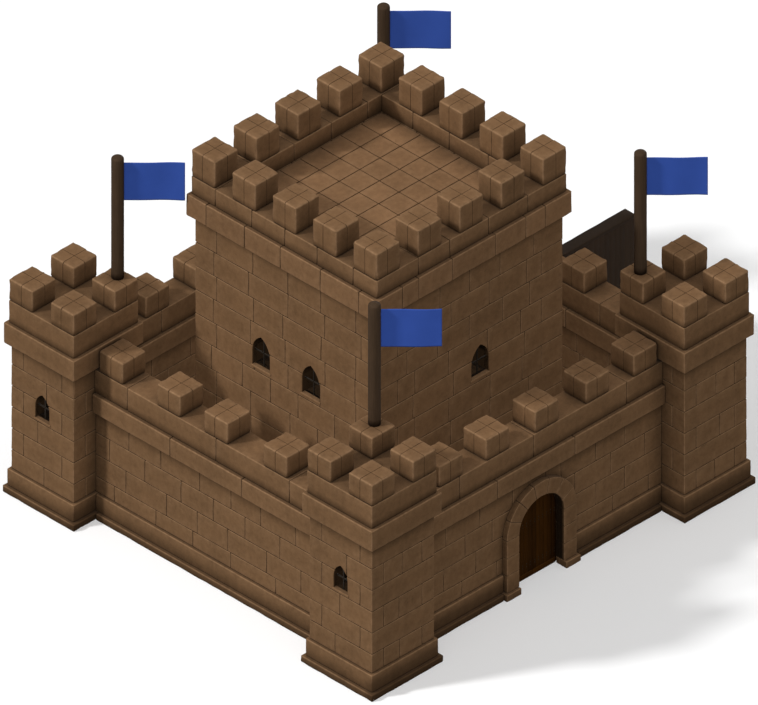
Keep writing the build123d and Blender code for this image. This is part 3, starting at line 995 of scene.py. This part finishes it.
for width, face_y, rear_y in ring_parts:
    core_y = face_y + ARCH_CORE_INSET
    for sign in (-1, 1):
        inner, outer = sign * GATE_HALF, sign * (GATE_HALF + width)
        for z0, z1 in zip(jamb_levels, jamb_levels[1:]):
            arch.block((inner, face_y, z0), (outer, rear_y, z1), gap=(0, 0, ARCH_JOINT),
                       stain=jamb_shade, **ARCH_FINISH)
        core.plain((inner + sign * ARCH_CORE_INSET, core_y, BASE_TOP),
                   (outer - sign * ARCH_CORE_INSET, rear_y, GATE_SPRING))
    length = turn * (GATE_HALF + width / 2)
    for number in range(VOUSSOIRS):
        wedge = functools.partial(bent, start=number * turn)
        arch.block((0, 0, face_y), (length, width, rear_y), gap=(ARCH_JOINT, 0, 0), shape=wedge,
                   stain=wedge_shade, **ARCH_FINISH)
        core.block((0, ARCH_CORE_INSET, core_y), (length, width - ARCH_CORE_INSET, rear_y),
                   shape=wedge, **ARCH_CORE_FINISH)
for sign in (-1, 1):
    arch.block((sign * GATE_HALF, arch_low[1], 0), (sign * arch_high[0], front_y, BASE_TOP),
               step=JAMB_BASE_GRID)
    arch.block((sign * GATE_HALF, front_y, 0), (sign * recess, GATE_REBATE_Y, BASE_TOP),
               step=JAMB_BASE_GRID)
masonry("gate_arch_stones", bedded(arch, core), ["gate_arch"])

bar_piece = show(bars.mesh("window_bars"), MATERIALS["iron"])
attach(bar_piece, "castle")

for cutter in cutters_used:
    bpy.data.objects.remove(cutter)


# Gate leaves: planks with a round head, ledges behind them and nail heads

PLANKS = 6
PLANK_BACK = 0.080
PLANK_FINISH = {"bevel": 0.010, "chip": 0.004, "wave": 0.003, "step": 0.12}
BOARD_FINISH = {"bevel": 0.008, "chip": 0.004}
BOARD_INSET = 0.02
RAIL_OUT = 0.030
RAIL_HEIGHT = 0.230
RAIL_TONE = 2.0
LEDGE_HEIGHT = 0.230
STRAP_HEIGHT = 0.090
NAIL = 0.017
NAIL_OUT = 0.010
NAIL_FINISH = {"bevel": 0.009, "chip": 0, "wave": 0}
NAIL_RISES = (-0.06, 0.06)
LEAF_RADIUS = 1.170


def round_head(points, foot, head):
    """Bring the top of an upright plank to the round head of its leaf."""
    x = np.clip(np.abs(points[:, 0]), 0, LEAF_RADIUS)
    top = GATE_SPRING + np.sqrt(LEAF_RADIUS**2 - x**2)
    share = (points[:, 2] - foot) / (head - foot)
    return np.stack((points[:, 0], points[:, 1], foot + share * (top - foot)), axis=1)


for side in ("left", "right"):
    low, high = np.array(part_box(f"gate_leaf_{side}"))
    wood = Blocks()
    edges = np.linspace(low[0], high[0], PLANKS + 1)
    plank = functools.partial(round_head, foot=low[2], head=high[2])
    for x0, x1 in zip(edges, edges[1:]):
        wood.block((x0, low[1] + RAIL_OUT, low[2]), (x1, low[1] + PLANK_BACK, high[2]),
                   shape=plank, **PLANK_FINISH)
    near, far = sorted((low[0], high[0]), key=abs)
    far = math.copysign(GATE_HALF - BOARD_INSET, far)
    wood.block((near, low[1], low[2] + BOARD_INSET),
               (far, low[1] + PLANK_BACK / 2, low[2] + RAIL_HEIGHT), tone=RAIL_TONE,
               **BOARD_FINISH)
    straps_low, straps_high = np.array(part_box(f"gate_straps_{side}"))
    ledge_levels = (straps_low[2] + STRAP_HEIGHT / 2, straps_high[2] - STRAP_HEIGHT / 2)
    for level in ledge_levels:
        wood.block((low[0] + BOARD_INSET, low[1] + PLANK_BACK, level - LEDGE_HEIGHT / 2),
                   (high[0] - BOARD_INSET, high[1], level + LEDGE_HEIGHT / 2), **BOARD_FINISH)
    leaf = show(wood.mesh(f"gate_planks_{side}"), MATERIALS["gate"])
    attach(leaf, f"gate_leaf_{side}")
    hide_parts(f"gate_leaf_{side}")

    nails = Blocks()
    for level in ledge_levels:
        for x0, x1 in zip(edges, edges[1:]):
            for rise in NAIL_RISES:
                x, z = (x0 + x1) / 2, level + rise
                nails.block((x - NAIL, low[1] + RAIL_OUT - NAIL_OUT, z - NAIL),
                            (x + NAIL, low[1] + RAIL_OUT + NAIL_OUT, z + NAIL), **NAIL_FINISH)
    studs = show(nails.mesh(f"gate_nails_{side}"), MATERIALS["iron"])
    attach(studs, f"gate_leaf_{side}")


# Flagpoles and flags

POLE_SIDES = 40
POLE_RINGS = 18
POLE_UNEVEN = 0.012

# Domed head of a pole: rings, the angles it runs between and its rise, then how far below the top
# the straight side ends and the dome starts, as shares of the radius
DOME_RINGS = 6
DOME_ANGLES = (0.25, math.pi / 2 - 0.12)
DOME_RISE = 0.55
SIDE_DROP = 0.60
DOME_DROP = 0.58

# Cloth: grid, height of the ripple, its angle along the flag, down it and from flag to flag, then
# thickness of the cloth and of the model's flag, which lengthens its box
FLAG_COLUMNS = 48
FLAG_ROWS = 36
RIPPLE = 0.030
RIPPLE_ALONG = 7.0
RIPPLE_DOWN = 1.1
RIPPLE_SHIFT = 1.3
CLOTH_THICK = 0.006
FLAG_SOLID = 0.016


def smooth_mesh(name, points, faces):
    mesh = bpy.data.meshes.new(name)
    mesh.from_pydata(points, [], faces)
    mesh.polygons.foreach_set("use_smooth", np.ones(len(faces), bool))
    mesh.update()
    return mesh


def pole_mesh(name, low, high):
    """A round timber with a domed head and slightly uneven sides."""
    centre = (low + high) / 2
    radius = (high[0] - low[0]) / 2
    height = high[2] - low[2]
    dome = [(math.cos(t), DOME_RISE * math.sin(t)) for t in np.linspace(*DOME_ANGLES, DOME_RINGS)]
    rings = [(1.0, z) for z in np.linspace(0, height - SIDE_DROP * radius, POLE_RINGS)]
    rings += [(r, height - DOME_DROP * radius + radius * z) for r, z in dome]
    angles = np.linspace(0, 2 * math.pi, POLE_SIDES, endpoint=False)
    points = []
    for share, z in rings:
        uneven = 1 - POLE_UNEVEN * dice.random(POLE_SIDES)
        ring = radius * share * uneven
        x, y = centre[0] + ring * np.cos(angles), centre[1] + ring * np.sin(angles)
        points.append(np.stack((x, y, np.full(POLE_SIDES, low[2] + z)), axis=1))
    points = np.concatenate(points)
    faces = []
    for row in range(len(rings) - 1):
        for i in range(POLE_SIDES):
            j = (i + 1) % POLE_SIDES
            a, b = row * POLE_SIDES, (row + 1) * POLE_SIDES
            faces.append((a + i, a + j, b + j, b + i))
    last = (len(rings) - 1) * POLE_SIDES
    faces.append(tuple(range(POLE_SIDES))[::-1])
    faces.append(tuple(range(last, last + POLE_SIDES)))
    return smooth_mesh(name, points.tolist(), faces)


def flag_mesh(name, hoist, length, drop, phase):
    """A sheet of cloth that flies to the front right with a slight ripple towards its free end."""
    along = np.array((1, -1, 0)) / math.sqrt(2)
    across = np.array((1, 1, 0)) / math.sqrt(2)
    points = []
    for row in range(FLAG_ROWS + 1):
        for column in range(FLAG_COLUMNS + 1):
            u, v = column / FLAG_COLUMNS, row / FLAG_ROWS
            wave = RIPPLE * u * math.sin(RIPPLE_ALONG * u + RIPPLE_DOWN * v + phase)
            spot = np.array(hoist) + along * u * length + across * wave
            points.append(tuple(spot - np.array((0, 0, v * drop))))
    faces = []
    for row in range(FLAG_ROWS):
        for column in range(FLAG_COLUMNS):
            a = row * (FLAG_COLUMNS + 1) + column
            b = a + FLAG_COLUMNS + 1
            faces.append((a, b, b + 1, a + 1))
    return smooth_mesh(name, points, faces)


for number, corner in enumerate(CORNERS):
    low, high = np.array(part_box(f"flagpole_{corner}"))
    pole = show(pole_mesh(f"flagpole_timber_{corner}", low, high), MATERIALS["pole"])
    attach(pole, "castle")
    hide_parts(f"flagpole_{corner}")

    flag_low, flag_high = np.array(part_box(f"flag_{corner}"))
    flag_length = (flag_high[0] - flag_low[0]) * math.sqrt(2) - FLAG_SOLID
    flag_drop = flag_high[2] - flag_low[2]
    hoist = (flag_low[0], flag_high[1], flag_high[2])
    sheet = flag_mesh(f"flag_cloth_{corner}", hoist, flag_length, flag_drop, RIPPLE_SHIFT * number)
    cloth = show(sheet, MATERIALS["cloth"])
    thick = cloth.modifiers.new("thickness", "SOLIDIFY")
    thick.thickness = CLOTH_THICK
    thick.offset = 0
    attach(cloth, "castle")
    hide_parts(f"flag_{corner}")


# Timber screen wall: upright planks under a cap beam

WING_PLANK = 0.25
CAP_HEIGHT = 0.16
CAP_FINISH = {"bevel": 0.024, "chip": 0.014}
low, high = np.array(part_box("timber_wing_wall"))
beams = Blocks()
count = round((high[0] - low[0]) / WING_PLANK)
edges = np.linspace(low[0], high[0], count + 1)
for x0, x1 in zip(edges, edges[1:]):
    beams.block((x0, low[1] + BOARD_INSET, low[2]),
                (x1, high[1] - BOARD_INSET, high[2] - CAP_HEIGHT), **BOARD_FINISH)
beams.block((low[0], low[1], high[2] - CAP_HEIGHT), high, **CAP_FINISH)
wing = show(beams.mesh("timber_wing_beams"), MATERIALS["wing"])
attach(wing, "castle")
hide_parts("timber_wing_wall")


# CAD nodes that stay in view get their finish

# The floors in the rooms take the floor stone, which is darkened as painted shade
KEPT = {"keep_upper_floor": "floor"}
KEPT |= {f"tower_floor_{corner}": "floor" for corner in CORNERS}
KEPT |= {f"gate_{iron}_{side}": "iron" for iron in ("straps", "pintles")
         for side in ("left", "right")}
for node, finish in KEPT.items():
    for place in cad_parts[node].material_slots:
        place.material = MATERIALS[finish]


# Floor, light and camera

FLOOR_SIZE = 400.0
FLOOR_COLOUR = (0.95, 0.95, 0.95, 1)
FLOOR_ROUGHNESS = 0.95
WORLD_COLOUR = (1.0, 1.0, 1.0, 1)
WORLD_STRENGTH = 0.15

# Distant lights: name, direction they come from, strength, spread in degrees, shadow
LIGHTS = (
    ("key", (-0.686, 0.385, 0.616), 2.05, 6, True),
    ("fill", (-0.20, -0.30, 0.93), 0.45, 70, True),
    ("lift", (-0.50, -0.55, 0.67), 1.65, 30, False),
    ("side", (0.85, 0.40, 0.34), 0.90, 30, False),
)
LIGHT_DISTANCE = 60

CAMERA_AZIMUTH = math.radians(-45)
CAMERA_ELEVATION = math.radians(34.8)
CAMERA_AIM = Vector((0, 0, 5.735))
CAMERA_WIDTH = 26.44
CAMERA_DISTANCE = 80.0
CAMERA_REACH = 400

floor_mesh = bpy.data.meshes.new("floor")
half = FLOOR_SIZE / 2
floor_corners = [(-half, -half, 0), (half, -half, 0), (half, half, 0), (-half, half, 0)]
floor_mesh.from_pydata(floor_corners, [], [(0, 1, 2, 3)])
floor_material, floor_tree = new_material("floor_pale")
floor_shader = floor_tree.nodes["Principled BSDF"]
floor_shader.inputs["Base Color"].default_value = FLOOR_COLOUR
floor_shader.inputs["Roughness"].default_value = FLOOR_ROUGHNESS
floor = show(floor_mesh, floor_material)
floor.visible_diffuse = False

world = bpy.data.worlds.new("studio")
world.use_nodes = True
background = world.node_tree.nodes["Background"]
background.inputs["Color"].default_value = WORLD_COLOUR
background.inputs["Strength"].default_value = WORLD_STRENGTH
scene.world = world

for name, towards, energy, angle, shadow in LIGHTS:
    sun = bpy.data.lights.new(name, "SUN")
    sun.energy = energy
    sun.angle = math.radians(angle)
    sun.use_shadow = shadow
    item = bpy.data.objects.new(name, sun)
    item.rotation_euler = Vector(towards).to_track_quat("Z", "Y").to_euler()
    item.location = Vector(towards) * LIGHT_DISTANCE
    scene.collection.objects.link(item)

camera_data = bpy.data.cameras.new("camera")
camera_data.type = "ORTHO"
camera_data.ortho_scale = CAMERA_WIDTH
camera_data.clip_end = CAMERA_REACH
camera = bpy.data.objects.new("camera", camera_data)
back = Vector((math.sin(CAMERA_AZIMUTH) * math.cos(CAMERA_ELEVATION),
               -math.cos(CAMERA_AZIMUTH) * math.cos(CAMERA_ELEVATION),
               math.sin(CAMERA_ELEVATION)))
camera.location = CAMERA_AIM + back * CAMERA_DISTANCE
camera.rotation_euler = back.to_track_quat("Z", "Y").to_euler()
scene.collection.objects.link(camera)
scene.camera = camera

scene.view_settings.view_transform = "Standard"
